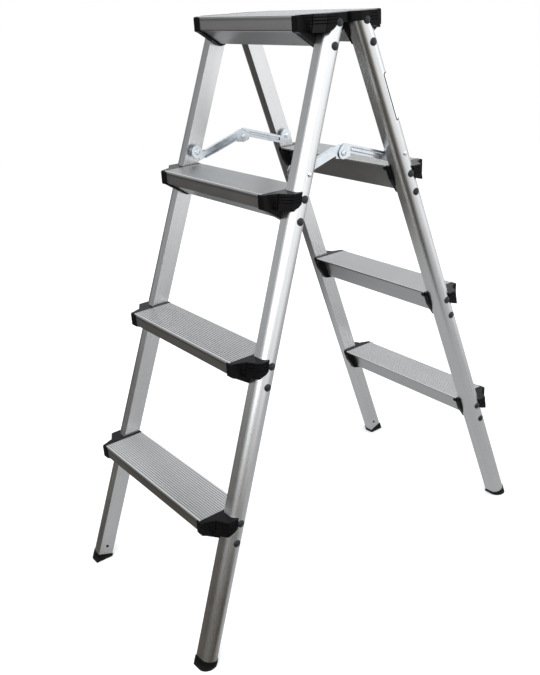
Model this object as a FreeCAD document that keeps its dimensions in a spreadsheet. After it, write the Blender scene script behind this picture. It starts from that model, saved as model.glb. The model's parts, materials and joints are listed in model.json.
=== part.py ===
import FreeCAD, Part
import os, math
import Sketcher
from FreeCAD import Vector, Rotation, Placement

# Double-sided aluminium step ladder.  Millimetres, +Z up, ground at z = 0,
# origin on the ground under the middle of the platform.
# X runs across the treads, -Y is the front frame's side, +Y the rear frame's.

doc = FreeCAD.newDocument("StepLadder")
sheet = doc.addObject("Spreadsheet::Sheet", "Dim")
sheet.Label = "Dim"

# name, value, note
cells = [
    ("pitch", 262.5, "vertical distance between treads"),
    ("first_rise", 271.5, "top of the lowest tread above the ground"),
    ("lean", 19.70, "lean of each frame from the vertical, degrees"),
    ("rail_y_top", 24.4, "rail centre line from the mid plane at platform height"),
    ("half_in_ground", 188.2, "inner rail face from the middle at the ground"),
    ("half_in_top", 144.15, "inner rail face from the middle at platform height"),
    ("rail_wide", 32.0, "width of the flat inner face of the rail"),
    ("rail_flank", 16.0, "straight flank before the round"),
    ("rail_wall", 1.6, "rail wall"),
    ("rail_top_z", 1047.5, "height of the rail centre at its top end"),
    ("foot_tall", 11.5, "foot below the rail end, on the centre line"),
    ("foot_skin", 1.2, "foot outside the rail outline"),
    ("plug_long", 26.0, "foot plug inside the rail"),
    ("end_gap", 6.0, "tread end to inner rail face"),
    ("lip_out", 64.0, "tread front lip, outward of the rail centre line"),
    ("lip_tall", 24.0, "height of the tread front lip"),
    ("tread_in", 20.0, "tread inner edge, inward of the rail centre line"),
    ("tread_deep", 49.0, "overall depth of the tread section"),
    ("keel_out", 22.0, "outer edge of the tread keel"),
    ("keel_in", 14.0, "inner edge of the tread keel"),
    ("web_in", 3.3, "top of the inner web, inward of the rail centre line"),
    ("deck", 2.6, "thickness of the tread deck"),
    ("skin", 1.6, "wall of the tread section"),
    ("flute_count", 17, "grooves along the deck"),
    ("flute_pitch", 4.6, "spacing of the grooves"),
    ("flute_wide", 1.8, "width of a groove"),
    ("flute_deep", 1.2, "depth of a groove"),
    ("skirt_long", 6.5, "bracket skirt along the tread"),
    ("skirt_thick", 1.8, "bracket skirt wall"),
    ("block_tall", 27.5, "height of the outer bracket block"),
    ("block_out", 33.6, "outer face of the bracket block from the rail face"),
    ("v1_u", 11.4, "first facet corner of the block, from the rail face"),
    ("v1_w", 41.2, "first facet corner of the block, from the rail centre"),
    ("v2_w", 29.5, "second facet corner of the block, from the rail centre"),
    ("e_w", 9.6, "inner end of the outer facet, from the rail centre"),
    ("block_lean", 0.167, "outward lean of the block facets per depth"),
    ("corner_w", 61.0, "start of the front facet at the deck, from the rail centre"),
    ("corner_slope", 0.64, "shift of that start per depth"),
    ("sleeve_tall", 15.0, "height of the sleeve round the rail top"),
    ("band_first", 4.4, "top of the first groove below the deck"),
    ("band_pitch", 4.7, "spacing of the grooves on the block"),
    ("band_gap", 1.7, "groove between bands"),
    ("band_deep", 1.5, "depth of the grooves between bands"),
    ("pin_rad", 3.0, "hinge pin radius"),
    ("pin_play", 0.05, "radial play of the hinge pin in the rear knuckle"),
    ("knuckle_rad", 11.0, "hinge knuckle radius"),
    ("axis_z", 1040.0, "height of the hinge axis"),
    ("rivet_a", 14.5, "upper tread rivet below the tread top"),
    ("rivet_b", 48.8, "lower tread rivet below the tread top"),
    ("rivet_head", 6.7, "tread rivet head radius"),
    ("rivet_tall", 2.9, "tread rivet head height"),
    ("rivet_shank", 2.4, "tread rivet shank radius"),
    ("rivet_play", 0.03, "radial room round the rivet shanks"),
    ("nub_rad", 2.6, "snap nub of the foot, radius"),
    ("nub_up", 19.0, "snap nub above the rail end"),
    ("stay_z", 821.0, "height of the stay pivots on the rails"),
    ("stay_rise", 13.0, "stay middle joint above the rail pivots"),
    ("stay_thick", 2.0, "stay sheet"),
    ("stay_flange", 5.5, "flange of the front stay link"),
    ("stay_tall", 15.0, "height of the stay strips"),
    ("stay_low", 9.5, "strip centre below the rail pivot, at its end"),
    ("stay_high", 8.3, "strip centre above the middle joint, at its end"),
    ("bead_half", 3.8, "half width of the bead on the rear link"),
    ("bead_tall", 1.8, "height of the bead"),
    ("eye_rail", 12.0, "stay eye radius at the rails"),
    ("eye_mid", 10.5, "stay eye radius at the middle joint"),
    ("stay_x_r", 147.0, "outer face of the rear stay link from the middle"),
    ("stay_slack", 0.35, "space between the two stay links"),
    ("stay_pin", 3.0, "stay rivet radius"),
    ("stay_play", 0.05, "radial play of the stay rivets"),
    ("label_long", 88.0, "length of the blank label up the rail"),
    ("label_z", 875.5, "lower end of the label"),
    ("stay_head", 4.6, "stay rivet head radius on the rail"),
]
for i, (alias, value, note) in enumerate(cells):
    row = i + 1
    sheet.set("A%d" % row, note)
    sheet.set("B%d" % row, str(value))
    sheet.setAlias("B%d" % row, alias)
n0 = len(cells)
derived = [
    ("top_z", "=first_rise + 3 * pitch", "platform height"),
    ("tan_lean", "=tan(lean * 1deg)", "lean as a slope"),
    ("flare", "=(half_in_ground - half_in_top) / top_z", "flare of the rails in X per height"),
    ("rail_deep", "=rail_flank + rail_wide / 2", "overall depth of the rail section"),
]
for i, (alias, value, note) in enumerate(derived):
    row = n0 + i + 1
    sheet.set("A%d" % row, note)
    sheet.set("B%d" % row, value)
    sheet.setAlias("B%d" % row, alias)
doc.recompute()


def val(name):
    v = getattr(sheet, name)
    return float(getattr(v, "Value", v))


A = math.radians(val("lean"))
TOP = val("top_z")
FL = val("flare")


def half_in(z):
    """inner rail face from the mid plane at height z"""
    return val("half_in_ground") - FL * z


def rail_y(z):
    """rail centre line from the mid plane at height z"""
    return val("rail_y_top") + (TOP - z) * math.tan(A)


TREAD_Z = [val("first_rise") + k * val("pitch") for k in range(4)]
ROLE = {"XY": "XY_Plane", "XZ": "XZ_Plane", "YZ": "YZ_Plane"}
nodes = []


def D(expr):
    """turn bare dimension names into references to the sheet"""
    import re
    names = [c[0] for c in cells] + [d[0] for d in derived]
    return re.sub(r"[A-Za-z_][A-Za-z_0-9]*", lambda m: "Dim." + m.group(0) if m.group(0) in names else m.group(0), expr)


def new_body(name):
    b = doc.addObject("PartDesign::Body", name)
    b.Label = name
    return b


def sketch(body, name, plane, offset=None):
    s = body.newObject("Sketcher::SketchObject", name)
    for f in body.Origin.OriginFeatures:
        if getattr(f, "Role", "") == ROLE[plane]:
            s.AttachmentSupport = [(f, "")]
    s.MapMode = "FlatFace"
    if offset:
        s.setExpression("AttachmentOffset.Base.z", D(offset))
    return s


def number(e):
    """value of a small arithmetic expression of sheet names"""
    import ast

    def walk(n):
        if isinstance(n, ast.Constant):
            return float(n.value)
        if isinstance(n, ast.Name):
            return val(n.id)
        if isinstance(n, ast.UnaryOp):
            v = walk(n.operand)
            return -v if isinstance(n.op, ast.USub) else v
        a, b = walk(n.left), walk(n.right)
        if isinstance(n.op, ast.Add):
            return a + b
        if isinstance(n.op, ast.Sub):
            return a - b
        return a * b if isinstance(n.op, ast.Mult) else a / b

    return walk(ast.parse(e).body[0].value)


def pin_point(s, geo, pos, xe, ye):
    """hold one sketch point by two dimensions bound to the sheet"""
    for kind, e in (("DistanceX", xe), ("DistanceY", ye)):
        i = s.addConstraint(Sketcher.Constraint(kind, -1, 1, geo, pos, number(e)))
        if any(ch.isalpha() for ch in e):
            s.setExpression("Constraints[%d]" % i, D(e))


def poly(s, pts, arcs=None):
    """closed outline; pts are (x, y) expressions; arcs maps the index of an
    edge to a bulge point through which it runs"""
    arcs = arcs or {}
    P = [Vector(number(x), number(y), 0) for x, y in pts]
    n = len(P)
    g = []
    for i in range(n):
        a, b = P[i], P[(i + 1) % n]
        if i in arcs:
            m = Vector(number(arcs[i][0]), number(arcs[i][1]), 0)
            g.append(s.addGeometry(Part.Arc(a, m, b), False))
        else:
            g.append(s.addGeometry(Part.LineSegment(a, b), False))
    for i in range(n):
        j = (i + 1) % n
        ga, gb = s.Geometry[g[i]], s.Geometry[g[j]]
        # an arc drawn clockwise keeps its own start and end
        pa = 2
        if i in arcs:
            pa = 2 if (ga.EndPoint - P[j]).Length < 1e-6 else 1
        pb = 1
        if j in arcs:
            pb = 1 if (gb.StartPoint - P[j]).Length < 1e-6 else 2
        s.addConstraint(Sketcher.Constraint("Coincident", g[i], pa, g[j], pb))
    for i in range(n):
        gi = s.Geometry[g[i]]
        if i in arcs:
            pos = 1 if (gi.StartPoint - P[i]).Length < 1e-6 else 2
        else:
            pos = 1
        pin_point(s, g[i], pos, pts[i][0], pts[i][1])
    for i, (mx, my, cx) in arcs.items():
        # the centre's place along X fixes the last freedom of the arc
        j = s.addConstraint(Sketcher.Constraint("DistanceX", -1, 1, g[i], 3, number(cx)))
        s.setExpression("Constraints[%d]" % j, D(cx))
    return g


def circle(s, xe, ye, re_):
    g = s.addGeometry(Part.Circle(Vector(number(xe), number(ye), 0), Vector(0, 0, 1), number(re_)), False)
    pin_point(s, g, 3, xe, ye)
    i = s.addConstraint(Sketcher.Constraint("Radius", g, number(re_)))
    if any(ch.isalpha() for ch in re_):
        s.setExpression("Constraints[%d]" % i, D(re_))
    return g


def pad(body, s, length, rev=False, name=None):
    f = body.newObject("PartDesign::Pad", name or s.Name + "_pad")
    f.Profile = s
    f.Type = "Length"
    f.Length = number(length)
    if any(ch.isalpha() for ch in length):
        f.setExpression("Length", D(length))
    f.Reversed = rev
    s.Visibility = False
    return f


def pocket(body, s, length=None, rev=False, both=False, name=None):
    f = body.newObject("PartDesign::Pocket", name or s.Name + "_cut")
    f.Profile = s
    if both:
        f.Type = "ThroughAll"
        f.SideType = "Symmetric"
    else:
        f.Type = "Length"
        f.Length = number(length)
        if any(ch.isalpha() for ch in length):
            f.setExpression("Length", D(length))
        f.Reversed = rev
    return f


def keep(obj, label):
    obj.Label = label
    nodes.append((label, obj))


# ------------------------------------------------------------------ placing
def rail_place(fr, side, z):
    """frame on the rail centre line of the inner face at height z: local Z up
    the rail, local X outward from the face, local Y along its width"""
    up = Vector(-side * FL, -fr * math.tan(A), 1.0)
    out_w = Vector(0, fr * math.cos(A), math.sin(A))
    up.normalize()
    out_u = out_w.cross(up) if side * fr > 0 else up.cross(out_w)
    out_u.normalize()
    if out_u.x * side < 0:
        out_u = out_u * -1
    # right-handed: X = out_u, Z = up, Y = Z x X
    yv = up.cross(out_u)
    m = FreeCAD.Matrix(out_u.x, yv.x, up.x, 0,
                       out_u.y, yv.y, up.y, 0,
                       out_u.z, yv.z, up.z, 0, 0, 0, 0, 1)
    pl = Placement(m)
    pl.Base = Vector(side * half_in(z), fr * rail_y(z), z)
    return pl


RAIL_LEN = math.sqrt(1 + FL ** 2 + math.tan(A) ** 2)   # rail length per height


def bracket_place(fr, z, side):
    """origin where the rail centre line of the inner face meets the tread top;
    local Y points away from the middle of the ladder"""
    rot = Rotation(Vector(0, 0, 1), 0 if fr > 0 else 180)
    return Placement(Vector(side * half_in(z), fr * rail_y(z), z), rot)


D_ARC = {1: ("rail_deep", "0", "rail_flank")}


def d_outline(grow="0"):
    """flat-backed rail outline, grown all round"""
    return [("-(%s)" % grow, "-(rail_wide/2 + %s)" % grow), ("rail_flank", "-(rail_wide/2 + %s)" % grow),
            ("rail_flank", "rail_wide/2 + %s" % grow), ("-(%s)" % grow, "rail_wide/2 + %s" % grow)]


FRAMES = [("front", -1), ("rear", 1)]
SIDES = [("left", -1), ("right", 1)]
foot_z = val("foot_tall")


def rivet_heights():
    """heights of the eight tread rivets on one rail"""
    out = []
    for k, z in enumerate(TREAD_Z):
        for r in ("rivet_a", "rivet_b"):
            out.append(z - val(r) - (1.1 if k == 3 else 0.0))
    return out


# ------------------------------------------------------------------ rails
for fname, fr in FRAMES:
    for sname, side in SIDES:
        nm = "rail_%s_%s" % (fname, sname)
        b = new_body(nm)
        s = sketch(b, nm + "_section", "XY")
        poly(s, d_outline(), {1: ("rail_deep", "0", "rail_flank")})
        poly(s, d_outline("-rail_wall"), {1: ("rail_deep - rail_wall", "0", "rail_flank")})
        p = pad(b, s, "1")
        p.setExpression("Length", D("(rail_top_z - foot_tall) * sqrt(1 + pow(flare;2) + pow(tan_lean;2))"))
        doc.recompute()
        b.Placement = rail_place(fr, side, foot_z)
        # rivets run along local X, so their holes are cut from the YZ plane
        h = sketch(b, nm + "_rivet_holes", "YZ")
        for z in rivet_heights():
            circle(h, "0", "%.5f" % ((z - foot_z) * RAIL_LEN), "rivet_shank + rivet_play")
        circle(h, "0", "%.5f" % ((val("stay_z") - foot_z) * RAIL_LEN), "stay_pin")
        pocket(b, h, both=True)
        doc.recompute()
        h = sketch(b, nm + "_nub_hole", "YZ", offset="-0.5")
        circle(h, "0", "nub_up", "nub_rad + 0.05")
        pocket(b, h, "rail_wall + 1.0", rev=True)
        keep(b, nm)

        # filled copy of the rail, used only as a cutting tool
        e = new_body("tool_" + nm)
        s = sketch(e, "tool_%s_section" % nm, "XY")
        poly(s, d_outline(), {1: ("rail_deep", "0", "rail_flank")})
        p = pad(e, s, "1")
        p.setExpression("Length", D("(rail_top_z - foot_tall) * sqrt(1 + pow(flare;2) + pow(tan_lean;2))"))
        e.Placement = rail_place(fr, side, foot_z)

        # foot: moulded boot with a plug inside the tube, sole cut level
        nf = "foot_%s_%s" % (fname, sname)
        b = new_body("body_" + nf)
        s = sketch(b, nf + "_boot", "XY")
        poly(s, d_outline("foot_skin"), {1: ("rail_deep + foot_skin", "0", "rail_flank")})
        pad(b, s, "30", rev=True)
        s = sketch(b, nf + "_plug", "XY")
        poly(s, d_outline("-(rail_wall + 0.2)"), {1: ("rail_deep - rail_wall - 0.2", "0", "rail_flank")})
        pad(b, s, "plug_long")
        doc.recompute()
        # snap nub through the hole in the inner face of the rail
        s = sketch(b, nf + "_nub", "YZ", offset="-0.9")
        circle(s, "0", "nub_up", "nub_rad")
        pad(b, s, "4")
        b.Placement = rail_place(fr, side, foot_z)
        g = doc.addObject("Part::Box", "ground_" + nf)
        g.Length = g.Width = 200
        g.Height = 100
        g.Placement = Placement(Vector(side * half_in(0) - 100, fr * rail_y(0) - 100, -100), Rotation())
        c = doc.addObject("Part::Cut", "cut_" + nf)
        c.Base, c.Tool = b, g
        keep(c, nf)

# ------------------------------------------------------------------ treads
names = ["tread_%s_1", "tread_%s_2", "tread_%s_3", "platform_%s"]


def tread_outline(inner):
    return [("-(%s)" % inner, "0"), ("lip_out - 3", "0"), ("lip_out - 0.8", "-0.9"), ("lip_out", "-3"),
            ("lip_out", "-(lip_tall - 2.2)"), ("lip_out - 0.8", "-(lip_tall - 0.4)"), ("lip_out - 3", "-(lip_tall + 0.4)"),
            ("lip_out - 7", "-(lip_tall + 1.4)"),
            ("keel_out", "-tread_deep"), ("keel_in", "-tread_deep"),
            ("-web_in", "-deck"), ("-(%s)" % inner, "-deck")]


def tread_void():
    return [("-web_in + 1.7", "-deck"), ("lip_out - skin", "-deck"), ("lip_out - skin", "-(lip_tall - 2.4)"),
            ("lip_out - 2.4", "-(lip_tall - 1.7)"), ("lip_out - 7.3", "-(lip_tall - 0.5)"),
            ("keel_out - 0.5", "-(tread_deep - skin - 0.2)"), ("keel_in + 1.05", "-(tread_deep - skin - 0.2)")]


for fname, fr in FRAMES:
    for k, z in enumerate(TREAD_Z):
        nm = names[k] % fname if k < 3 else names[3] % fname
        inner = "tread_in" if k < 3 else "rail_y_top - 0.8"
        b = new_body(nm)
        long_ = "2 * (half_in_ground - flare * %s - end_gap)" % ("(first_rise + %d * pitch)" % k)
        s = sketch(b, nm + "_section", "YZ", offset="-(half_in_ground - flare * (first_rise + %d * pitch) - end_gap)" % k)
        poly(s, tread_outline(inner))
        poly(s, tread_void())
        pad(b, s, long_)
        doc.recompute()
        s = sketch(b, nm + "_flute", "YZ")
        w0 = "lip_out - 5 - flute_wide"
        poly(s, [(w0, "1"), (w0, "-flute_deep"), ("lip_out - 5", "-flute_deep"), ("lip_out - 5", "1")])
        f = pocket(b, s, both=True)
        doc.recompute()
        lp = b.newObject("PartDesign::LinearPattern", nm + "_flutes")
        lp.Originals = [f]
        lp.Direction = (s, ["H_Axis"])
        lp.Reversed = True
        lp.setExpression("Length", D("(flute_count - 1) * flute_pitch"))
        lp.setExpression("Occurrences", D("flute_count"))
        b.Tip = lp
        b.Placement = Placement(Vector(0, fr * rail_y(z), z), Rotation(Vector(0, 0, 1), 0 if fr > 0 else 180))
        keep(b, nm)

# ------------------------------------------------------------------ rivets
# tread rivets of one frame: domed heads on the round of the rail and a shank
# through the tube into the bracket plate; the second, slightly fuller set
# makes the seats in the brackets
def rivet(name, place, grow):
    r = new_body(name)
    s = sketch(r, name + "_profile", "XZ")
    x0 = "-3.5 - (%s)" % grow
    rad = "rivet_shank + (%s)" % grow
    poly(s, [(x0, "0"), (x0, rad), ("rail_deep - 1.5", rad), ("rail_deep - 1.5", "rivet_head"),
             ("rail_deep + rivet_tall - 2.4", "rivet_head"), ("rail_deep + rivet_tall - 1.41", "0.787 * rivet_head"),
             ("rail_deep + rivet_tall - 0.63", "0.538 * rivet_head"), ("rail_deep + rivet_tall - 0.16", "0.273 * rivet_head"),
             ("rail_deep + rivet_tall", "0")])
    rv = r.newObject("PartDesign::Revolution", name + "_turn")
    rv.Profile = s
    rv.ReferenceAxis = (s, ["H_Axis"])
    rv.Angle = 360
    r.Placement = place
    return r


for fname, fr in FRAMES:
    for sname, side in SIDES:
        nm = "rivets_%s_%s" % (fname, sname)
        real, seats = [], []
        for i, z in enumerate(rivet_heights()):
            pl = rail_place(fr, side, foot_z).multiply(Placement(Vector(0, 0, (z - foot_z) * RAIL_LEN), Rotation()))
            real.append(rivet("%s_%d" % (nm, i + 1), pl, "0"))
            seats.append(rivet("tool_%s_%d" % (nm, i + 1), pl, "rivet_play"))
        c = doc.addObject("Part::Compound", "group_" + nm)
        c.Links = real
        t = doc.addObject("Part::Compound", "tool_" + nm)
        t.Links = seats
        hug = doc.addObject("Part::Cut", "seat_" + nm)
        hug.Base, hug.Tool = c, doc.getObject("rail_%s_%s" % (fname, sname))
        keep(hug, nm)

# ------------------------------------------------------------------ brackets


def sg(sig, e):
    return e if sig > 0 else "-(%s)" % e


def along(body, nm, sig, u0, u1, pts):
    """pad an outline of the (w, height) plane between two distances u from the
    rail face, u growing outward"""
    s = sketch(body, nm, "YZ", offset=sg(sig, u0))
    poly(s, pts)
    return pad(body, s, "(%s) - (%s)" % (u1, u0), rev=(sig < 0))


def block_plan(d):
    """outline of the outer block at depth d below the deck: three facets with
    an upright groove on each of the two corners between them"""
    out = " + block_lean * (%s)" % d
    corner = "corner_w - corner_slope * (%s)" % d
    return [("-end_gap", corner), ("3", corner),
            ("v1_u - 0.43", "v1_w + 1.01" + out), ("v1_u - 1.18", "v1_w - 1.08" + out), ("v1_u + 0.97", "v1_w - 0.51" + out),
            ("block_out - 1.06", "v2_w + 0.56" + out), ("block_out - 1.45", "v2_w - 0.88" + out), ("block_out", "v2_w - 1.2" + out),
            ("block_out", "e_w" + out), ("24", "4"), ("-end_gap", "4")]


def band_plan(d):
    """outline of one groove round the three facets at depth d"""
    out = " + block_lean * (%s)" % d
    corner = "corner_w - corner_slope * (%s)" % d
    return [("3", corner + " + 5"), ("v1_u + 7", "v1_w + 12" + out), ("block_out + 5", "v2_w + 6" + out), ("block_out + 5", "e_w - 4"),
            ("block_out - band_deep", "e_w - 4"), ("block_out - band_deep", "v2_w - 0.9" + out), ("v1_u - 1.0", "v1_w - 1.3" + out),
            ("3", corner + " - 3")]


for fname, fr in FRAMES:
    for k, z in enumerate(TREAD_Z):
        top = k == 3
        for sname, side in SIDES:
            nm = ("bracket_%s_%d_%s" % (fname, k + 1, sname)) if not top else "hinge_bracket_%s_%s" % (fname, sname)
            sig = side * fr          # local X = sig * (outward)
            b = new_body("body_" + nm)
            U = lambda e: sg(sig, e)
            # end plate, shaped like the tread end, reaching down past the lower rivet
            plate = [("-20" if not top else "-19.5", "0"), ("lip_out - 2", "0"), ("lip_out + 1.0", "-1.0"), ("lip_out + skirt_thick", "-3"),
                     ("lip_out + skirt_thick", "-(lip_tall + 0.6)"), ("lip_out - 5.5", "-(lip_tall + 4)"),
                     ("keel_out + 1", "-(tread_deep + 2.4)"), ("15", "-(tread_deep + 5)"), ("6", "-(tread_deep + 3)"), ("-1", "-42"),
                     ("-12", "-26"), ("-20" if not top else "-19.5", "-6")]
            along(b, nm + "_plate", sig, "-end_gap", "3", plate)
            doc.recompute()
            # skirt wrapped round the lip, the slope and the keel of the tread end
            skirt = [("lip_out - 0.8", "-0.9"), ("lip_out + 1.0", "-1.0"), ("lip_out + skirt_thick", "-3"),
                     ("lip_out + skirt_thick", "-(lip_tall + 0.6)"), ("lip_out - 5.5", "-(lip_tall + 4)"),
                     ("keel_out + 1", "-(tread_deep + 2.4)"), ("keel_in - 1", "-(tread_deep + 2.4)"),
                     ("keel_in", "-tread_deep"), ("keel_out", "-tread_deep"),
                     ("lip_out - 7", "-(lip_tall + 1.4)"), ("lip_out - 3", "-(lip_tall + 0.4)"), ("lip_out - 0.8", "-(lip_tall - 0.4)"),
                     ("lip_out", "-(lip_tall - 2.2)"), ("lip_out", "-3")]
            along(b, nm + "_skirt", sig, "-(end_gap + skirt_long)", "-(end_gap - 1)", skirt)
            doc.recompute()
            # outer block, level with the deck, its facets leaning out with depth
            s = sketch(b, nm + "_block", "XY")
            poly(s, [(U(x), y) for x, y in block_plan("0")])
            s2 = sketch(b, nm + "_block_foot", "XY", offset="-block_tall")
            poly(s2, [(U(x), y) for x, y in block_plan("block_tall")])
            doc.recompute()
            lf = b.newObject("PartDesign::AdditiveLoft", nm + "_block_loft")
            lf.Profile = s
            lf.Sections = [s2]
            lf.Ruled = True
            b.Tip = lf
            doc.recompute()
            # grooves between the bands of the block
            for i in range(3):
                d = "band_first + %d * band_pitch" % i
                s = sketch(b, nm + "_band_%d" % (i + 1), "XY", offset="-(%s)" % d)
                poly(s, [(U(x), y) for x, y in band_plan(d)])
                pocket(b, s, "band_gap")
                doc.recompute()
            # lower corner of the outer facet, cut away towards the rail
            s = sketch(b, nm + "_corner", "YZ", offset=U("16"))
            poly(s, [("-2", "-19"), ("e_w + 3", "-19"), ("e_w + 9", "-23.5"), ("v2_w", "-26.6"), ("v2_w + 3", "-30"), ("-2", "-30")])
            pocket(b, s, "30", rev=(sig > 0))
            doc.recompute()
            if not top:
                # lug under the overhanging inner edge of the deck
                lug = [("-21.5", "-(deck + 0.1)"), ("-5", "-(deck + 0.1)"), ("-5", "-5"), ("-9", "-11"), ("-17", "-11"), ("-21.5", "-7")]
                along(b, nm + "_lug", sig, "-(end_gap + 5)", "-(end_gap - 2)", lug)
            else:
                # cap over the rail top and the sleeve round it
                ring = [("block_out", "-8"), ("29", "-16"), ("22", "-21"), ("14", "-23.8")]
                cap = [("-end_gap + 0.1", "lip_out - 20"), ("v1_u + 1.2", "v1_w - 2.2"), ("block_out", "v2_w - 2")] + ring + [("-end_gap + 0.1", "-23.8")]
                s = sketch(b, nm + "_cap", "XY")
                poly(s, [(U(x), y) for x, y in cap])
                pad(b, s, "3.2", rev=True)
                doc.recompute()
                inn = [("0", "e_w + 1"), ("block_out", "e_w + 1")] + ring + [("0", "-23.8")]
                s = sketch(b, nm + "_sleeve", "XY")
                poly(s, [(U(x), y) for x, y in inn])
                pad(b, s, "sleeve_tall", rev=True)
                doc.recompute()
                # set back below the hinge axis so that the two halves can close
                cut = [("-26", "-(top_z - axis_z - 1)"), ("-23.4", "-(top_z - axis_z - 1)"), ("-17.6", "-31"), ("-26", "-31")]
                s = sketch(b, nm + "_setback", "YZ", offset=U("0.9"))
                poly(s, cut)
                pocket(b, s, "40", rev=(sig > 0))
                doc.recompute()
                # knuckle
                if fr < 0:
                    u0, u1 = "-end_gap", "0.6"
                else:
                    u0, u1 = "-(end_gap + 6.6)", "-(end_gap + 0.35)"
                ctr = ("-rail_y_top", "-(top_z - axis_z)")
                if fr > 0:
                    # the rear plate and block keep clear of the front knuckle
                    s = sketch(b, nm + "_clear", "YZ", offset=U("-(end_gap + 0.05)"))
                    circle(s, ctr[0], ctr[1], "knuckle_rad + 0.5")
                    pocket(b, s, "end_gap + 1.2", rev=(sig > 0))
                    doc.recompute()
                if fr < 0:
                    s = sketch(b, nm + "_knuckle", "YZ", offset=U(u0))
                    circle(s, ctr[0], ctr[1], "knuckle_rad")
                    pad(b, s, "(%s) - (%s)" % (u1, u0), rev=(sig < 0))
                else:
                    along(b, nm + "_arm", sig, u0, u1, [("-rail_y_top + 2", "-(top_z - axis_z - knuckle_rad + 0.2)"), ("-8", "-(top_z - axis_z - knuckle_rad + 0.2)"),
                                                         ("-8", "-(top_z - axis_z + 7)"), ("-rail_y_top + 4", "-(top_z - axis_z + knuckle_rad - 0.8)")])
                    doc.recompute()
                    along(b, nm + "_bridge", sig, u0, "-(end_gap - 1.5)", [("-12.4", "-(top_z - axis_z - knuckle_rad + 0.2)"), ("-8", "-(top_z - axis_z - knuckle_rad + 0.2)"),
                                                                     ("-8", "-(top_z - axis_z + 7)"), ("-12.4", "-(top_z - axis_z + 7)")])
                    doc.recompute()
                    s = sketch(b, nm + "_knuckle", "YZ", offset=U(u0))
                    circle(s, ctr[0], ctr[1], "knuckle_rad")
                    pad(b, s, "(%s) - (%s)" % (u1, u0), rev=(sig < 0))
                doc.recompute()
                s = sketch(b, nm + "_bore", "YZ", offset=U("-(end_gap + 8)"))
                circle(s, ctr[0], ctr[1], "pin_rad + pin_play" if fr > 0 else "pin_rad")
                pocket(b, s, "end_gap + 8 + 0.3", rev=(sig > 0))
            doc.recompute()
            b.Placement = bracket_place(fr, z, side)
            c1 = doc.addObject("Part::Cut", "hug_" + nm)
            c1.Base, c1.Tool = b, doc.getObject("tool_rail_%s_%s" % (fname, sname))
            c2 = doc.addObject("Part::Cut", "bored_" + nm)
            c2.Base, c2.Tool = c1, doc.getObject("tool_rivets_%s_%s" % (fname, sname))
            keep(c2, nm)


# ------------------------------------------------------------------ hinge pins
for sname, side in SIDES:
    nm = "hinge_pin_" + sname
    b = new_body(nm)
    s = sketch(b, nm + "_shank", "YZ", offset=sg(side, "-(end_gap + 8.2)"))
    circle(s, "0", "0", "pin_rad")
    pad(b, s, "end_gap + 8.5", rev=(side < 0))
    s = sketch(b, nm + "_head", "YZ", offset=sg(side, "-(end_gap + 8.8)"))
    circle(s, "0", "0", "pin_rad + 2")
    pad(b, s, "1.8", rev=(side < 0))
    b.Placement = Placement(Vector(side * half_in(TOP), 0, val("axis_z")), Rotation())
    keep(b, nm)

# ------------------------------------------------------------------ stays
STAY_Y = rail_y(val("stay_z"))
RISE = math.degrees(math.atan2(val("stay_rise"), STAY_Y))
LINK = math.hypot(STAY_Y, val("stay_rise"))
sheet_row = n0 + len(derived) + 1
for alias, value, note in (("stay_y", "=rail_y_top + (top_z - stay_z) * tan_lean", "stay pivots from the mid plane"),
                           ("link_long", "=sqrt(pow(stay_y; 2) + pow(stay_rise; 2))", "stay link between pivots")):
    sheet.set("A%d" % sheet_row, note)
    sheet.set("B%d" % sheet_row, value)
    sheet.setAlias("B%d" % sheet_row, alias)
    derived.append((alias, value, note))
    sheet_row += 1
doc.recompute()

SLOPE = "((stay_low + stay_high) / (link_long - 12.4))"


def strip(t0, t1, low, high, sgn):
    """band along the strip of a stay link, from t0 to t1 along the pivot line,
    between two heights measured from the middle of the strip; sgn turns it
    over for the rear link"""
    def z(t, h):
        return "-stay_low + %s * ((%s) - 6) + (%s)" % (SLOPE, t, h)
    pts = [(t0, z(t0, low)), (t1, z(t1, low)), (t1, z(t1, high)), (t0, z(t0, high))]
    return [(y if sgn > 0 else "-(%s)" % y, h) for y, h in pts]


def link(nm, side, sgn, xo, heel):
    """flat of one stay link: strip, the eyes at both pivots and the heel plate
    round the middle joint; xo is its outer face"""
    b = new_body(nm)
    s = sketch(b, nm + "_web", "YZ", offset=sg(side, xo))
    poly(s, strip("2", "link_long - 5", "-stay_tall / 2", "stay_tall / 2", sgn))
    pad(b, s, "stay_thick", rev=(side > 0))
    doc.recompute()
    s = sketch(b, nm + "_heel", "YZ", offset=sg(side, xo))
    poly(s, [(y if sgn > 0 else "-(%s)" % y, z) for y, z in heel])
    pad(b, s, "stay_thick", rev=(side > 0))
    doc.recompute()
    for tag, y, r in (("rail", "0", "eye_rail"), ("mid", "link_long" if sgn > 0 else "-link_long", "eye_mid")):
        s = sketch(b, nm + "_eye_" + tag, "YZ", offset=sg(side, xo))
        circle(s, y, "0", r)
        pad(b, s, "stay_thick", rev=(side > 0))
        doc.recompute()
    return b


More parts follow.
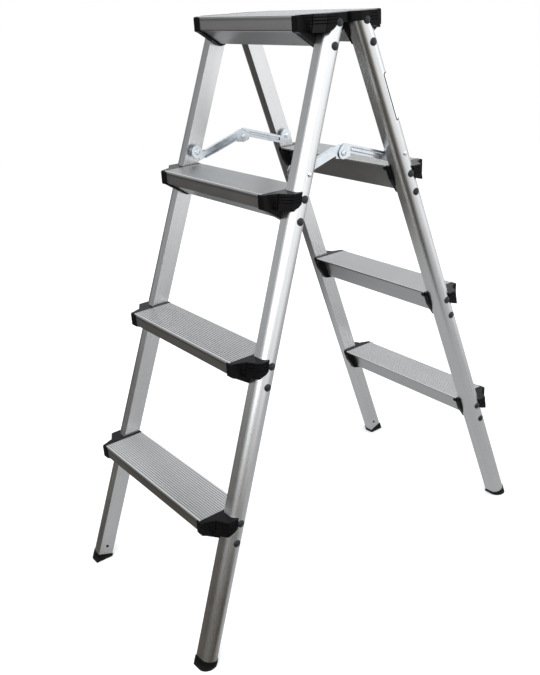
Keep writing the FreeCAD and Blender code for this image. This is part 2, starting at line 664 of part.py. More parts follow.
for sname, side in SIDES:
    # front link: channel with its flanges turned inward, link-local Y along
    # the link from the rail pivot to the middle joint; the straight edge of
    # its heel is the stop
    nm = "stay_front_" + sname
    xo = "stay_x_r - stay_thick - stay_slack"        # outer face of the front link
    b = link(nm, side, 1, xo, [("link_long - 16", "-6"), ("link_long - 5", "-9.2"), ("link_long + 6", "-8.6"), ("link_long + 13", "-4.6"),
                               ("link_long + 17.5", "-0.5"), ("link_long - 2", "15"), ("link_long - 16", "12")])
    for tag, lo, hi in (("top", "stay_tall / 2 - 1.6", "stay_tall / 2"), ("low", "-stay_tall / 2", "-stay_tall / 2 + 1.6")):
        s = sketch(b, nm + "_flange_" + tag, "YZ", offset=sg(side, xo))
        poly(s, strip("15", "link_long - 16", lo, hi, 1))
        pad(b, s, "stay_thick + stay_flange", rev=(side > 0))
        doc.recompute()
    s = sketch(b, nm + "_holes", "YZ")
    circle(s, "0", "0", "stay_pin + stay_play")
    circle(s, "link_long", "0", "stay_pin")
    pocket(b, s, both=True)
    b.Placement = Placement(Vector(0, -STAY_Y, val("stay_z")), Rotation(Vector(1, 0, 0), RISE))
    keep(b, nm)

    # rear link: flat strip with a bead pressed outward, link-local Y from the
    # rail pivot back to the middle joint
    nm = "stay_rear_" + sname
    xo = "stay_x_r"
    b = link(nm, side, -1, xo, [("link_long - 16", "-6"), ("link_long - 5", "-9.2"), ("link_long + 4", "-9.6"), ("link_long + 9.6", "-4"),
                                ("link_long + 9", "5.6"), ("link_long + 2", "16"), ("link_long - 4", "16.6"), ("link_long - 16", "13")])
    s = sketch(b, nm + "_bead", "YZ", offset=sg(side, xo + " - 0.2"))
    poly(s, strip("15", "link_long - 15", "-bead_half", "bead_half", -1))
    p = pad(b, s, "bead_tall + 0.2", rev=(side < 0))
    p.TaperAngle = -38
    doc.recompute()
    s = sketch(b, nm + "_bead_inside", "YZ", offset=sg(side, xo + " - stay_thick - 0.5"))
    poly(s, strip("16.5", "link_long - 16.5", "-bead_half + 1.1", "bead_half - 1.1", -1))
    pocket(b, s, "2.1", rev=(side > 0))
    doc.recompute()
    s = sketch(b, nm + "_holes", "YZ")
    circle(s, "0", "0", "stay_pin + 0.35")
    circle(s, "-link_long", "0", "stay_pin + stay_play")
    pocket(b, s, both=True)
    b.Placement = Placement(Vector(0, STAY_Y, val("stay_z")), Rotation(Vector(1, 0, 0), -RISE))
    keep(b, nm)

    # middle rivet, fixed in the front link
    nm = "stay_mid_rivet_" + sname
    b = new_body(nm)
    s = sketch(b, nm + "_profile", "XY")
    x1, x2 = "stay_x_r - 2 * stay_thick - stay_slack", "stay_x_r"
    prof = [("(%s) - 1.8" % x1, "0"), ("(%s) - 1.8" % x1, "stay_pin"), ("(%s) - 1.1" % x1, "stay_pin + 1.6"), (x1, "stay_pin + 2.0"), (x1, "stay_pin"),
            ("%s + 0.15" % x2, "stay_pin"), ("%s + 0.15" % x2, "stay_pin + 2.0"), ("%s + 1.1" % x2, "stay_pin + 1.7"), ("%s + 1.9" % x2, "stay_pin - 0.6"), ("%s + 1.9" % x2, "0")]
    poly(s, [(sg(side, x), y) for x, y in prof])
    rv = b.newObject("PartDesign::Revolution", nm + "_turn")
    rv.Profile = s
    rv.ReferenceAxis = (s, ["H_Axis"])
    rv.Angle = 360
    b.Placement = Placement(Vector(0, 0, val("stay_z") + val("stay_rise")), Rotation())
    keep(b, nm)

    # head of the rear pivot, carried by the rear link: domed inside, its neck
    # filling the eye
    nm = "stay_rear_head_" + sname
    b = new_body(nm)
    s = sketch(b, nm + "_profile", "XY")
    x1, x2 = "stay_x_r - stay_thick", "stay_x_r"
    prof = [("(%s) - 2.1" % x1, "0"), ("(%s) - 2.0" % x1, "stay_pin - 1.0"), ("(%s) - 1.3" % x1, "stay_pin + 1.6"), ("(%s) - 0.1" % x1, "stay_pin + 2.6"),
            ("(%s) - 0.1" % x1, "stay_pin + 0.3"), ("%s + 0.2" % x2, "stay_pin + 0.3"), ("%s + 0.2" % x2, "0")]
    poly(s, [(sg(side, x), y) for x, y in prof])
    rv = b.newObject("PartDesign::Revolution", nm + "_turn")
    rv.Profile = s
    rv.ReferenceAxis = (s, ["H_Axis"])
    rv.Angle = 360
    b.Placement = Placement(Vector(0, STAY_Y, val("stay_z")), Rotation())
    keep(b, nm)

    # rail pivot rivets with their distance sleeves
    for fname, fr in FRAMES:
        nm = "stay_pivot_%s_%s" % (fname, sname)
        b = new_body("body_" + nm)
        s = sketch(b, nm + "_profile", "XY")
        # distances from the middle of the ladder, at the pivot height
        face = "(half_in_ground - flare * stay_z)"
        head = face + " + rail_deep"
        if fr < 0:
            link_in = "stay_x_r - 2 * stay_thick - stay_slack"
            link_out = "stay_x_r - stay_thick - stay_slack"
            prof = [("(%s) - 1.8" % link_in, "0"), ("(%s) - 1.8" % link_in, "stay_pin + 0.6"), ("(%s) - 1.0" % link_in, "stay_pin + 2.2"),
                    ("(%s) - 0.1" % link_in, "stay_pin + 2.6"), ("(%s) - 0.1" % link_in, "stay_pin"), ("(%s) + 0.2" % link_out, "stay_pin"),
                    ("(%s) + 0.2" % link_out, "stay_pin + 3.5"), (face + " + 0.6", "stay_pin + 3.5"), (face + " + 0.6", "stay_pin")]
        else:
            # stops short of the link by the height of its bead
            link_out = "stay_x_r + bead_tall"
            prof = [("(%s) + 0.35" % link_out, "0"), ("(%s) + 0.35" % link_out, "stay_pin + 3.5"), (face + " + 0.6", "stay_pin + 3.5"), (face + " + 0.6", "stay_pin")]
        prof += [(head + " - 0.6", "stay_pin"), (head + " - 0.6", "stay_head"), (head + " + 0.7", "stay_head - 0.3"),
                 (head + " + 1.7", "stay_head - 1.5"), (head + " + 2.3", "stay_head - 3.4"), (head + " + 2.3", "0")]
        poly(s, [(sg(side, x), y) for x, y in prof])
        rv = b.newObject("PartDesign::Revolution", nm + "_turn")
        rv.Profile = s
        rv.ReferenceAxis = (s, ["H_Axis"])
        rv.Angle = 360
        b.Placement = Placement(Vector(0, fr * STAY_Y, val("stay_z")), Rotation())
        c = doc.addObject("Part::Cut", "seat_" + nm)
        c.Base, c.Tool = b, doc.getObject("rail_%s_%s" % (fname, sname))
        keep(c, nm)

# ------------------------------------------------------------------ label
b = new_body("blank_label")
s = sketch(b, "blank_label_band", "XY")
r0, r1 = val("rail_wide") / 2, val("rail_wide") / 2 + 0.25
ang0, ang1 = math.radians(0), math.radians(87)
cx = val("rail_flank")


def on_arc(r, t):
    return Vector(cx + r * math.cos(t), r * math.sin(t), 0)


mid = (ang0 + ang1) / 2
ge = [s.addGeometry(Part.Arc(on_arc(r0, ang0), on_arc(r0, mid), on_arc(r0, ang1)), False),
      s.addGeometry(Part.LineSegment(on_arc(r0, ang1), on_arc(r1, ang1)), False),
      s.addGeometry(Part.Arc(on_arc(r1, ang1), on_arc(r1, mid), on_arc(r1, ang0)), False),
      s.addGeometry(Part.LineSegment(on_arc(r1, ang0), on_arc(r0, ang0)), False)]
pad(b, s, "label_long")
b.Placement = rail_place(1, 1, val("label_z"))
keep(b, "blank_label")

# ------------------------------------------------------------------ check, write
doc.recompute()
bad = [(o.Name, list(o.State)) for o in doc.Objects if "Invalid" in o.State or "Error" in o.State]
if bad:
    raise RuntimeError("failed objects: %s" % bad)
for label, o in nodes:
    sh = o.Shape
    if sh.isNull() or not sh.isValid() or not sh.Solids or sh.Volume <= 0:
        raise RuntimeError("bad shape: " + label)
os.makedirs("parts", exist_ok=True)
for label, o in nodes:
    o.Shape.exportStep("parts/%s.step" % label)
    bb = o.Shape.BoundBox
    print("%-28s solids %2d  volume %9.1f  z %.1f..%.1f" % (label, len(o.Shape.Solids), o.Shape.Volume, bb.ZMin, bb.ZMax))
print(len(nodes), "nodes")
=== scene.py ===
import json
import math
import bpy
from mathutils import Vector, Matrix

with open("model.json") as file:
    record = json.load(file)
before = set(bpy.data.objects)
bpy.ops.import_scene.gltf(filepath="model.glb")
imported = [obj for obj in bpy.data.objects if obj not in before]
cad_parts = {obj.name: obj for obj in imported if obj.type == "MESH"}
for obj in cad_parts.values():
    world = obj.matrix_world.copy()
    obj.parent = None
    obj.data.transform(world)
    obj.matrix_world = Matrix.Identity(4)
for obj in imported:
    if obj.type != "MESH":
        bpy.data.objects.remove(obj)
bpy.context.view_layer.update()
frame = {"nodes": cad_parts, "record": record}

N = frame["nodes"]
RECORD = frame["record"]
SLOT = {p["node"]: p["material_slot"] for p in RECORD["subparts"]}

LEAN = math.radians(19.70)
FLARE = (188.2 - 144.15) / 1059.0


# ---------------------------------------------------------------- node helper
class Finish:
    """One procedural material. Textures read object coordinates, in metres,
    so they stay with the part when it moves."""

    def __init__(self, name):
        self.mat = bpy.data.materials.new(name)
        self.mat.use_nodes = True
        self.tree = self.mat.node_tree
        self.tree.nodes.clear()
        self.out = self.add("ShaderNodeOutputMaterial")
        self.bsdf = self.add("ShaderNodeBsdfPrincipled")
        self.tree.links.new(self.bsdf.outputs[0], self.out.inputs["Surface"])
        self.coord = self.add("ShaderNodeTexCoord").outputs["Object"]

    def add(self, kind, **props):
        n = self.tree.nodes.new(kind)
        for k, v in props.items():
            setattr(n, k, v)
        return n

    def feed(self, socket, value):
        if isinstance(value, bpy.types.NodeSocket):
            self.tree.links.new(value, socket)
        else:
            socket.default_value = value

    def math(self, op, a, b=0.0, c=0.0, clamp=False):
        n = self.add("ShaderNodeMath", operation=op, use_clamp=clamp)
        for i, v in enumerate((a, b, c)):
            if i < len(n.inputs):
                self.feed(n.inputs[i], v)
        return n.outputs[0]

    def vmath(self, op, a, b=(0, 0, 0)):
        n = self.add("ShaderNodeVectorMath", operation=op)
        self.feed(n.inputs[0], a)
        self.feed(n.inputs[1], b)
        return n.outputs["Value"] if op in ("DOT_PRODUCT", "LENGTH") else n.outputs["Vector"]

    def turned(self, vector, rotation=(0, 0, 0), scale=(1, 1, 1), location=(0, 0, 0)):
        n = self.add("ShaderNodeMapping", vector_type="POINT")
        self.feed(n.inputs["Vector"], vector)
        n.inputs["Rotation"].default_value = rotation
        n.inputs["Scale"].default_value = scale
        n.inputs["Location"].default_value = location
        return n.outputs[0]

    def noise(self, vector, scale, detail=2.0, rough=0.5, distortion=0.0):
        n = self.add("ShaderNodeTexNoise")
        self.feed(n.inputs["Vector"], vector)
        n.inputs["Scale"].default_value = scale
        n.inputs["Detail"].default_value = detail
        n.inputs["Roughness"].default_value = rough
        n.inputs["Distortion"].default_value = distortion
        return n.outputs[0]

    def ramp(self, value, stops, interp="LINEAR"):
        n = self.add("ShaderNodeValToRGB")
        n.color_ramp.interpolation = interp
        while len(n.color_ramp.elements) < len(stops):
            n.color_ramp.elements.new(0.5)
        for e, (p, c) in zip(n.color_ramp.elements, stops):
            e.position = p
            e.color = (c, c, c, 1) if isinstance(c, (int, float)) else (*c, 1)
        self.feed(n.inputs[0], value)
        return n.outputs[0]

    def span(self, value, lo, hi, to_lo=0.0, to_hi=1.0):
        n = self.add("ShaderNodeMapRange", clamp=True)
        self.feed(n.inputs["Value"], value)
        n.inputs["From Min"].default_value = lo
        n.inputs["From Max"].default_value = hi
        n.inputs["To Min"].default_value = to_lo
        n.inputs["To Max"].default_value = to_hi
        return n.outputs[0]

    def mix(self, fac, a, b, blend="MIX"):
        n = self.add("ShaderNodeMix", data_type="RGBA", blend_type=blend)
        self.feed(n.inputs[0], fac)
        for i, v in ((6, a), (7, b)):
            if isinstance(v, (tuple, list)):
                v = (*v, 1) if len(v) == 3 else v
            self.feed(n.inputs[i], v)
        return n.outputs[2]

    def rounded(self, radius, samples=4):
        """normal softened over edges, and a mask that is 1 on the edge"""
        n = self.add("ShaderNodeBevel", samples=samples)
        n.inputs["Radius"].default_value = radius
        g = self.add("ShaderNodeNewGeometry")
        d = self.vmath("DOT_PRODUCT", n.outputs[0], g.outputs["Normal"])
        edge = self.span(d, 0.995, 0.86)
        return n.outputs[0], edge

    def bump(self, height, strength, distance, normal=None):
        n = self.add("ShaderNodeBump")
        n.inputs["Strength"].default_value = strength
        n.inputs["Distance"].default_value = distance
        self.feed(n.inputs["Height"], height)
        if normal is not None:
            self.feed(n.inputs["Normal"], normal)
        return n.outputs[0]

    def set(self, **values):
        names = {"color": "Base Color", "rough": "Roughness", "metal": "Metallic", "normal": "Normal",
                 "specular": "Specular IOR Level", "ior": "IOR", "coat": "Coat Weight",
                 "coat_rough": "Coat Roughness", "aniso": "Anisotropic"}
        for k, v in values.items():
            if isinstance(v, (tuple, list)):
                v = (*v, 1) if len(v) == 3 else v
            self.feed(self.bsdf.inputs[names[k]], v)
        return self.mat


def extruded(name, tone_a, tone_b, rotation, along, rough, metal=1.0, edge=0.0003, groove_shade=0.0, lip_shade=0.0):
    """extruded aluminium: die lines along one axis, satin bloom, handling
    marks and bright rubbed edges; on a deck, painted shade darkens the grooves,
    a painted shadow line lies under the lip and the upright faces below it get
    painted shade"""
    f = Finish(name)
    base = f.turned(f.coord, rotation=rotation)
    axis = {"x": 0, "y": 1, "z": 2}[along]
    fine_s, mid_s, far_s = [1, 1, 1], [1, 1, 1], [1, 1, 1]
    fine_s[axis], mid_s[axis], far_s[axis] = 0.006, 0.010, 0.03
    fine = f.noise(f.turned(base, scale=fine_s), 2600, 3, 0.65)
    mid = f.noise(f.turned(base, scale=mid_s), 620, 3, 0.6)
    far = f.noise(f.turned(base, scale=far_s), 90, 2, 0.5)
    bloom = f.noise(base, 14, 4, 0.55, 0.6)
    marks = f.noise(f.turned(base, rotation=(0.5, 0.9, 0.2), scale=(1, 0.12, 1)), 130, 5, 0.7)
    grain = f.math("ADD", f.math("MULTIPLY", fine, 0.5), f.math("MULTIPLY", mid, 0.5))
    normal, edge_band = f.rounded(edge)
    tone = f.math("ADD", f.math("MULTIPLY", f.math("SUBTRACT", mid, 0.5), 0.8), f.math("ADD", f.math("MULTIPLY", f.math("SUBTRACT", bloom, 0.5), 0.6), 0.5), clamp=True)
    tone = f.math("ADD", tone, f.math("MULTIPLY", f.math("SUBTRACT", far, 0.5), 0.5), clamp=True)
    colour = f.mix(tone, tone_a, tone_b)
    colour = f.mix(f.math("MULTIPLY", edge_band, 0.45), colour, (0.90, 0.90, 0.90))
    if groove_shade:
        # the decks are one pitch apart, so one folded height finds every groove
        z = f.add("ShaderNodeSeparateXYZ")
        f.feed(z.inputs[0], f.coord)
        h = f.math("MULTIPLY", f.math("FRACT", f.math("DIVIDE", f.math("SUBTRACT", z.outputs[2], 0.2700), 0.2625)), 0.2625)
        # painted shade: the bottoms of the deck's grooves are darkened towards near black
        low = f.math("MULTIPLY", f.span(h, 0.00125, 0.00075), f.span(h, 0.00005, 0.00015))
        colour = f.mix(f.math("MULTIPLY", low, groove_shade), colour, (0.075, 0.075, 0.075))
        g = f.add("ShaderNodeNewGeometry")
        g = g.outputs["Normal"]
        face = f.add("ShaderNodeSeparateXYZ")
        f.feed(face.inputs[0], f.vmath("ABSOLUTE", f.vmath("MULTIPLY", g, (1, 1, 1))))
        upright = f.span(face.outputs[1], 0.80, 0.97)
        drop = f.math("SUBTRACT", 0.2625, h)
        # painted shadow: a dark line on the upright faces just below the deck's lip
        lip_shadow = f.math("MULTIPLY", f.span(drop, 0.0012, 0.0026), f.span(drop, 0.0075, 0.0045))
        colour = f.mix(f.math("MULTIPLY", f.math("MULTIPLY", lip_shadow, upright), lip_shade), colour, (0.10, 0.10, 0.10))
        # painted shade: the upright faces further below the lip are darkened towards mid grey
        fascia_shade = f.math("MULTIPLY", f.span(drop, 0.0045, 0.0080), upright)
        colour = f.mix(f.math("MULTIPLY", fascia_shade, lip_shade * 0.45), colour, (0.33, 0.33, 0.335))
    r = f.math("ADD", rough, f.math("MULTIPLY", f.math("SUBTRACT", grain, 0.5), 0.12))
    r = f.math("ADD", r, f.math("MULTIPLY", f.math("SUBTRACT", bloom, 0.5), 0.07))
    r = f.math("SUBTRACT", r, f.math("MULTIPLY", f.span(marks, 0.64, 0.82), 0.05))
    r = f.math("SUBTRACT", r, f.math("MULTIPLY", edge_band, 0.08), clamp=True)
    n = f.bump(grain, 0.09, 0.00006, normal)
    return f.set(color=colour, rough=r, metal=metal, normal=n, aniso=0.0)


def moulded(name, tone, edge_highlight_tone, rough, grain_scale, grain_strength, edge=0.0006, dust=None, specular=0.5, crevice_shade=0.0, ior=1.5):
    """moulded black plastic: spark-eroded grain, faint flow marks, and scuffed
    edges lightened partly as painted highlight; optional painted shade in the
    grooves; dust settles towards the ground on the feet"""
    f = Finish(name)
    grain = f.noise(f.coord, grain_scale, 3, 0.6)
    flow = f.noise(f.turned(f.coord, scale=(1, 1, 0.3)), 45, 4, 0.6, 1.2)
    rub = f.noise(f.coord, 240, 4, 0.7)
    normal, edge_band = f.rounded(edge)
    # the edges are lightened in patches: partly scuffs, partly a painted highlight along the edges
    scuff_and_edge_highlight = f.math("MULTIPLY", edge_band, f.span(rub, 0.38, 0.62, 0.15, 1.0))
    colour = f.mix(f.span(flow, 0.3, 0.7), tone, tuple(1.6 * c for c in tone))
    colour = f.mix(f.math("MULTIPLY", scuff_and_edge_highlight, 0.55), colour, edge_highlight_tone)
    r = f.math("ADD", rough, f.math("MULTIPLY", f.math("SUBTRACT", flow, 0.5), 0.22))
    r = f.math("ADD", r, f.math("MULTIPLY", f.math("SUBTRACT", grain, 0.5), 0.14))
    if dust:
        z = f.add("ShaderNodeSeparateXYZ")
        f.feed(z.inputs[0], f.coord)
        low = f.math("MULTIPLY", f.span(z.outputs[2], 0.012, 0.0), f.span(rub, 0.35, 0.65))
        colour = f.mix(f.math("MULTIPLY", low, 0.10), colour, dust)
        r = f.math("ADD", r, f.math("MULTIPLY", low, 0.25), clamp=True)
    n = f.bump(grain, grain_strength, 0.0001, normal)
    if crevice_shade:
        # painted shade: the grooves are darkened to near black and lose most of their reflection
        ao = f.add("ShaderNodeAmbientOcclusion", samples=6)
        ao.inputs["Distance"].default_value = 0.0035
        crevice_shade_mask = f.span(ao.outputs["AO"], 0.80, 0.40)
        colour = f.mix(f.math("MULTIPLY", crevice_shade_mask, crevice_shade), colour, (0.002, 0.002, 0.002))
        specular = f.math("MULTIPLY", f.math("SUBTRACT", 1.0, f.math("MULTIPLY", crevice_shade_mask, crevice_shade)), specular)
    return f.set(color=colour, rough=r, metal=0.0, normal=n, specular=specular, ior=ior)


def plated(name, tone_a, tone_b, rough, metal=1.0, edge=0.0003, crevice_shade=None, tint_to=(0.80, 0.76, 0.66), edge_wear_and_shade=(0.92, 0.93, 0.95), edge_wear_and_shade_mix=0.4, specular=0.5):
    """pressed steel with a bright plated skin: cloudy passivation, pressing
    lines and edges mixed to a given tone, bright rubbed wear or a dark painted
    shade line; optional painted shade in the hollows"""
    f = Finish(name)
    cloud = f.noise(f.coord, 70, 4, 0.6, 0.8)
    tint = f.noise(f.coord, 26, 2, 0.5, 1.5)
    drawn = f.noise(f.turned(f.coord, scale=(1, 0.03, 1)), 1500, 3, 0.6)
    normal, edge_band = f.rounded(edge)
    colour = f.mix(f.span(cloud, 0.32, 0.68), tone_a, tone_b)
    colour = f.mix(f.math("MULTIPLY", f.span(tint, 0.52, 0.75), 0.35), colour, tint_to)
    # the edges are mixed towards a given tone: bright rubbed wear by default, a dark bluish painted shade line on the
    # zinc stays
    colour = f.mix(f.math("MULTIPLY", edge_band, edge_wear_and_shade_mix), colour, edge_wear_and_shade)
    if crevice_shade:
        # painted shade: the hollows are darkened towards the given tone
        ao = f.add("ShaderNodeAmbientOcclusion", samples=6)
        ao.inputs["Distance"].default_value = 0.005
        colour = f.mix(f.math("MULTIPLY", f.span(ao.outputs["AO"], 0.88, 0.45), 0.9), colour, crevice_shade)
    r = f.math("ADD", rough, f.math("MULTIPLY", f.math("SUBTRACT", cloud, 0.5), 0.20))
    r = f.math("ADD", r, f.math("MULTIPLY", f.math("SUBTRACT", drawn, 0.5), 0.14), clamp=True)
    n = f.bump(drawn, 0.12, 0.00008, normal)
    return f.set(color=colour, rough=r, metal=metal, normal=n, specular=specular)


# ---------------------------------------------------------------- finishes
def rail_rotation(front, side):
    fr = -1 if front else 1
    return (-fr * LEAN, math.atan(side * FLARE), 0)


FIN = {}
for fname, front in (("front", True), ("rear", False)):
    for sname, side in (("left", -1), ("right", 1)):
        FIN["rail_%s_%s" % (fname, sname)] = extruded(
            "rail_aluminium_%s_%s" % (fname, sname), (0.66, 0.66, 0.66), (0.78, 0.78, 0.775),
            rail_rotation(front, side), "z", 0.28)
# the decks carry painted shade in the grooves, a painted shadow under the lip and painted shade on the fascias
TREAD = extruded("tread_aluminium", (0.57, 0.572, 0.57), (0.67, 0.672, 0.67), (0, 0, 0), "x", 0.34, edge=0.00025, groove_shade=0.50, lip_shade=0.45)
# the black plastic carries painted shade in its grooves
PLASTIC = moulded("bracket_black", (0.003, 0.003, 0.0033), (0.060, 0.060, 0.063), 0.24, 2600, 0.12, edge=0.0005, specular=0.40, crevice_shade=0.9, ior=1.18)
FOOT = moulded("foot_black", (0.003, 0.003, 0.003), (0.02, 0.02, 0.02), 0.40, 1700, 0.30, specular=0.35, dust=(0.16, 0.14, 0.12), ior=1.18)
RIVET = plated("rivet_dark", (0.007, 0.007, 0.008), (0.014, 0.014, 0.015), 0.30, metal=0.1, tint_to=(0.018, 0.018, 0.018),
               edge_wear_and_shade=(0.04, 0.04, 0.042), specular=0.34)
# zinc stays: painted shade in the hollows and a dark bluish painted shade line along the edges
ZINC = plated("zinc_bright", (0.66, 0.71, 0.755), (0.80, 0.83, 0.86), 0.18, edge=0.0006, crevice_shade=(0.06, 0.10, 0.17),
              tint_to=(0.74, 0.75, 0.72), edge_wear_and_shade=(0.16, 0.22, 0.31), edge_wear_and_shade_mix=0.8)
PIN = plated("pin_steel", (0.55, 0.56, 0.58), (0.66, 0.66, 0.67), 0.30)


def label_finish():
    """blank vinyl label: white face, black rounded border line"""
    f = Finish("label_blank")
    # the label's own axes: z' up the rail from its middle, arc round the rail
    mid_z = (875.5 + 44.0 * math.cos(LEAN)) / 1000.0
    base = f.turned(f.coord, rotation=rail_rotation(False, 1))
    half_in = 188.2 - FLARE * mid_z * 1000
    c = Matrix.Rotation(math.atan(FLARE), 3, "Y") @ Matrix.Rotation(-LEAN, 3, "X") @ Vector(
        (half_in / 1000, (24.4 + (1059 - mid_z * 1000) * math.tan(LEAN)) / 1000, mid_z))
    s = f.add("ShaderNodeSeparateXYZ")
    f.feed(s.inputs[0], f.vmath("SUBTRACT", base, tuple(c)))
    arc = f.math("MULTIPLY", f.math("ARCTAN2", s.outputs[1], f.math("SUBTRACT", s.outputs[0], 0.016)), 0.016)
    u = f.math("ABSOLUTE", f.math("SUBTRACT", arc, 0.01215))
    v = f.math("ABSOLUTE", s.outputs[2])
    hu, hv, rr = 0.0116, 0.0433, 0.0035
    du = f.math("MAXIMUM", f.math("SUBTRACT", u, hu - rr), 0.0)
    dv = f.math("MAXIMUM", f.math("SUBTRACT", v, hv - rr), 0.0)
    d = f.math("SQRT", f.math("ADD", f.math("MULTIPLY", du, du), f.math("MULTIPLY", dv, dv)))
    line = f.math("MULTIPLY", f.span(d, rr - 0.0031, rr - 0.0028), f.span(d, rr + 0.0001, rr - 0.0001))
    cloud = f.noise(f.coord, 120, 3, 0.5)
    white = f.mix(f.span(cloud, 0.3, 0.7), (0.86, 0.86, 0.85), (0.90, 0.90, 0.89))
    colour = f.mix(line, white, (0.02, 0.02, 0.02))
    n = f.bump(f.noise(f.coord, 900, 2, 0.5), 0.05, 0.00005)
    r = f.span(cloud, 0.3, 0.7, 0.28, 0.36)
    return f.set(color=colour, rough=r, normal=n)


LABEL = label_finish()

for name, ob in N.items():
    slot = SLOT[name]
    mat = {"rail_aluminium": FIN.get(name), "tread_aluminium": TREAD, "bracket_plastic": PLASTIC,
           "foot_plastic": FOOT, "dark_rivet": RIVET, "zinc_steel": ZINC, "pin_steel": PIN,
           "white_label": LABEL}[slot]
    ob.data.materials.clear()
    ob.data.materials.append(mat)

# ---------------------------------------------------------------- studio
scene = bpy.context.scene


FRONT, RIGHT_BACK, LEFT = (0.26, -0.966, 0.0), (0.906, 0.423, 0.0), (-0.996, -0.087, 0.0)


def graph(tree):
    """math helpers for a plain node tree"""
    def feed(socket, value):
        if isinstance(value, bpy.types.NodeSocket):
            tree.links.new(value, socket)
        else:
            socket.default_value = value

    def op(kind, a, b=0.0, c=0.0):
        n = tree.nodes.new("ShaderNodeMath")
        n.operation = kind
        for i, v in enumerate((a, b, c)):
            feed(n.inputs[i], v)
        return n.outputs[0]

    def vec(kind, a, b=(0, 0, 0)):
        n = tree.nodes.new("ShaderNodeVectorMath")
        n.operation = kind
        feed(n.inputs[0], a)
        feed(n.inputs[1], b)
        return n.outputs["Value"] if kind in ("DOT_PRODUCT", "LENGTH") else n.outputs["Vector"]

    def step(value, lo, hi, to_lo=0.0, to_hi=1.0):
        n = tree.nodes.new("ShaderNodeMapRange")
        n.interpolation_type = "SMOOTHSTEP"
        feed(n.inputs["Value"], value)
        n.inputs["From Min"].default_value = lo
        n.inputs["From Max"].default_value = hi
        n.inputs["To Min"].default_value = to_lo
        n.inputs["To Max"].default_value = to_hi
        return n.outputs[0]

    return feed, op, vec, step


def disc(name, radius, z, rings=48):
    mesh = bpy.data.meshes.new(name)
    mesh.from_pydata([(radius * math.cos(2 * math.pi * i / rings), radius * math.sin(2 * math.pi * i / rings), z)
                      for i in range(rings)], [], [list(range(rings))])
    o = bpy.data.objects.new(name, mesh)
    scene.collection.objects.link(o)
    return o


PALE = 1.0


def bare(name):
    mat = bpy.data.materials.new(name)
    mat.use_nodes = True
    mat.node_tree.nodes.clear()
    return mat, mat.node_tree


# pale floor: a matt sheet that turns into an even glow away from the ladder
mat, t = bare("studio_floor")
feed, op, vec, step = graph(t)
co = t.nodes.new("ShaderNodeTexCoord").outputs["Object"]
far = step(vec("LENGTH", co), 1.6, 5.0)
dif = t.nodes.new("ShaderNodeBsdfDiffuse")
dif.inputs[0].default_value = (0.88, 0.88, 0.88, 1)
near_glow = t.nodes.new("ShaderNodeEmission")
near_glow.inputs[0].default_value = (1, 1, 1, 1)
near_glow.inputs[1].default_value = 0.12
both = t.nodes.new("ShaderNodeAddShader")
t.links.new(dif.outputs[0], both.inputs[0])
t.links.new(near_glow.outputs[0], both.inputs[1])
glow = t.nodes.new("ShaderNodeEmission")
glow.inputs[0].default_value = (1, 1, 1, 1)
glow.inputs[1].default_value = PALE
blend = t.nodes.new("ShaderNodeMixShader")
feed(blend.inputs[0], far)
t.links.new(both.outputs[0], blend.inputs[1])
t.links.new(glow.outputs[0], blend.inputs[2])
out = t.nodes.new("ShaderNodeOutputMaterial")
t.links.new(blend.outputs[0], out.inputs[0])
floor = disc("floor", 60.0, 0.0)
floor.data.materials.append(mat)
floor.visible_glossy = False

# backdrop: an even pale shell far outside the room lights
mat, t = bare("studio_backdrop")
e = t.nodes.new("ShaderNodeEmission")
e.inputs[0].default_value = (1, 1, 1, 1)
e.inputs[1].default_value = PALE
out = t.nodes.new("ShaderNodeOutputMaterial")
t.links.new(e.outputs[0], out.inputs[0])
mesh = bpy.data.meshes.new("backdrop")
R, K, V = 58.0, 48, 12
verts = [(R * math.cos(2 * math.pi * i / K) * math.cos(j * math.pi / 2 / V), R * math.sin(2 * math.pi * i / K) * math.cos(j * math.pi / 2 / V),
          -1.0 + (R + 1.0) * math.sin(j * math.pi / 2 / V)) for j in range(V) for i in range(K)]
faces = [(j * K + i, j * K + (i + 1) % K, (j + 1) * K + (i + 1) % K, (j + 1) * K + i) for j in range(V - 1) for i in range(K)]
verts.append((0, 0, R))
faces += [((V - 1) * K + i, (V - 1) * K + (i + 1) % K, len(verts) - 1) for i in range(K)]
mesh.from_pydata(verts, [], faces)
shell = bpy.data.objects.new("backdrop", mesh)
scene.collection.objects.link(shell)
mesh.materials.append(mat)
for flag in ("visible_glossy", "visible_diffuse", "visible_transmission", "visible_shadow", "visible_volume_scatter"):
    setattr(shell, flag, False)

# what the metal sees below the horizon: the studio's grey base sheet, darker
# in front and to the left, brighter far off to the right
mat, t = bare("studio_base")
feed, op, vec, step = graph(t)
co = t.nodes.new("ShaderNodeTexCoord").outputs["Object"]
r = vec("LENGTH", co)
u = vec("NORMALIZE", co)
level = op("ADD", 0.50, 0.0)
shade = op("MULTIPLY", step(vec("DOT_PRODUCT", u, FRONT), 0.45, 0.90), step(r, 0.38, 0.55))
level = op("SUBTRACT", level, op("MULTIPLY", shade, 0.455))
near_right = op("MULTIPLY", step(vec("DOT_PRODUCT", u, (0.72, -0.694, 0.0)), 0.72, 0.93), step(r, 0.38, 0.52))
level = op("SUBTRACT", level, op("MULTIPLY", near_right, 0.20))
front_left = op("MULTIPLY", step(vec("DOT_PRODUCT", u, (-0.62, -0.785, 0.0)), 0.70, 0.92), step(r, 0.42, 0.65))
level = op("SUBTRACT", level, op("MULTIPLY", front_left, 0.36))
level = op("ADD", level, op("MULTIPLY", op("MULTIPLY", step(vec("DOT_PRODUCT", u, RIGHT_BACK), 0.1, 0.8), step(r, 1.0, 3.0)), 0.58))
level = op("SUBTRACT", level, op("MULTIPLY", op("MULTIPLY", step(vec("DOT_PRODUCT", u, LEFT), 0.80, 0.93), step(r, 0.5, 0.9)), 0.36))
level = op("MAXIMUM", level, 0.07)
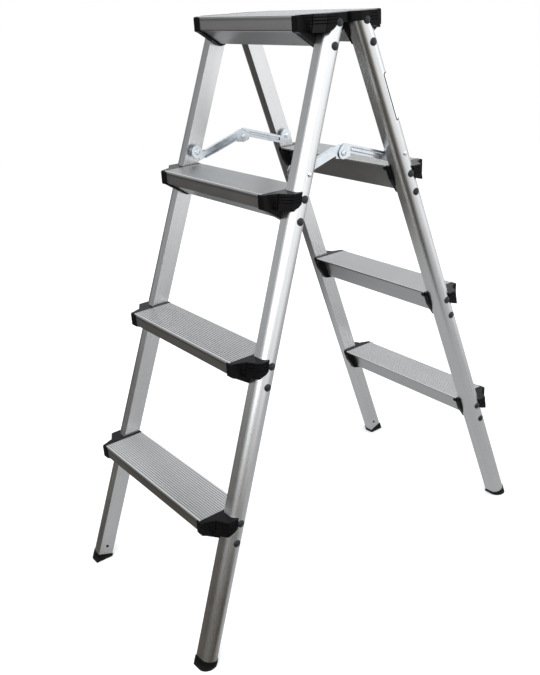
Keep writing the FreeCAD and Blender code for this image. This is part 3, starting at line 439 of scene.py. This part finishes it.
tone = t.nodes.new("ShaderNodeMix")
tone.data_type = "RGBA"
feed(tone.inputs[0], op("MAXIMUM", shade, op("MULTIPLY", front_left, 0.5)))
tone.inputs[6].default_value = (0.965, 0.985, 1.0, 1)
tone.inputs[7].default_value = (1.0, 0.82, 0.60, 1)
e = t.nodes.new("ShaderNodeEmission")
t.links.new(tone.outputs[2], e.inputs[0])
feed(e.inputs[1], level)
out = t.nodes.new("ShaderNodeOutputMaterial")
t.links.new(e.outputs[0], out.inputs[0])
base_sheet = disc("floor_base", 60.0, -0.001)
base_sheet.data.materials.append(mat)
for flag in ("visible_camera", "visible_diffuse", "visible_transmission", "visible_shadow", "visible_volume_scatter"):
    setattr(base_sheet, flag, False)

# room light from above the horizon
world = bpy.data.worlds.new("studio")
scene.world = world
world.use_nodes = True
t = world.node_tree
t.nodes.clear()
feed, op, vec, step = graph(t)
d = t.nodes.new("ShaderNodeTexCoord").outputs["Generated"]
sep = t.nodes.new("ShaderNodeSeparateXYZ")
feed(sep.inputs[0], d)
z = sep.outputs[2]


def lobe(direction, lo, hi, gain):
    v = Vector(direction).normalized()
    return op("MULTIPLY", step(vec("DOT_PRODUCT", d, tuple(v)), lo, hi), gain)


level = op("ADD", 0.38, 0.0)
level = op("ADD", level, op("MULTIPLY", lobe((0.30, -0.92, 0.32), 0.62, 0.80, 1.15), step(z, 0.06, 0.18)))
level = op("ADD", level, lobe((0.94, 0.34, 0.05), 0.25, 0.75, 1.02))
level = op("ADD", level, lobe((0.1, 0.98, 0.05), 0.5, 0.9, 0.35))
level = op("ADD", level, op("MULTIPLY", step(z, 0.45, 0.85), 0.75))
level = op("ADD", level, lobe((-0.74, 0.55, 0.5), 0.70, 0.95, 0.62))
level = op("SUBTRACT", level, op("MULTIPLY", lobe((-1.0, -0.05, 0.1), 0.7, 0.9, 0.16), step(z, 0.6, 0.3)))
level = op("ADD", level, lobe((-0.669, -0.743, 0.12), 0.945, 0.985, 0.22))
level = op("SUBTRACT", level, lobe((0.875, -0.408, 0.26), 0.935, 0.99, 0.22))
bg = t.nodes.new("ShaderNodeBackground")
feed(bg.inputs[0], (0.955, 0.977, 1.0, 1))
feed(bg.inputs[1], level)
out = t.nodes.new("ShaderNodeOutputWorld")
t.links.new(bg.outputs[0], out.inputs[0])


def softbox(name, at, towards, size, power, tall=None):
    d = bpy.data.lights.new(name, "AREA")
    d.shape = "RECTANGLE"
    d.size, d.size_y = size, tall or size
    d.energy = power
    o = bpy.data.objects.new(name, d)
    scene.collection.objects.link(o)
    o.location = at
    o.rotation_mode = "QUATERNION"
    o.rotation_quaternion = (Vector(towards) - Vector(at)).to_track_quat("-Z", "Y")
    return o


softbox("overhead", (0.6, -0.9, 3.2), (0, 0, 0.4), 1.6, 14)
softbox("front_box", (0.9, -2.9, 1.7), (0, 0, 0.7), 2.4, 22, 1.6)

# ---------------------------------------------------------------- camera
AZ, EL, ROLL = math.radians(53.414), math.radians(22.964), math.radians(-3.419)
back = Vector((math.sin(AZ) * math.cos(EL), -math.cos(AZ) * math.cos(EL), math.sin(EL)))
right = Vector((0, 0, 1)).cross(back).normalized()
up = back.cross(right)
cr, sr = math.cos(ROLL), math.sin(ROLL)
right, up = cr * right + sr * up, -sr * right + cr * up
cam = bpy.data.cameras.new("camera")
cam.sensor_width = 36.0
cam.lens = 825.53 * 36.0 / 675.0
cam.clip_start, cam.clip_end = 0.05, 200.0
eye = bpy.data.objects.new("camera", cam)
scene.collection.objects.link(eye)
m = Matrix((right, up, back)).transposed().to_4x4()
m.translation = Vector((1.19718, -0.95899, 1.10076))
eye.matrix_world = m
scene.camera = eye
scene.view_settings.view_transform = "Standard"
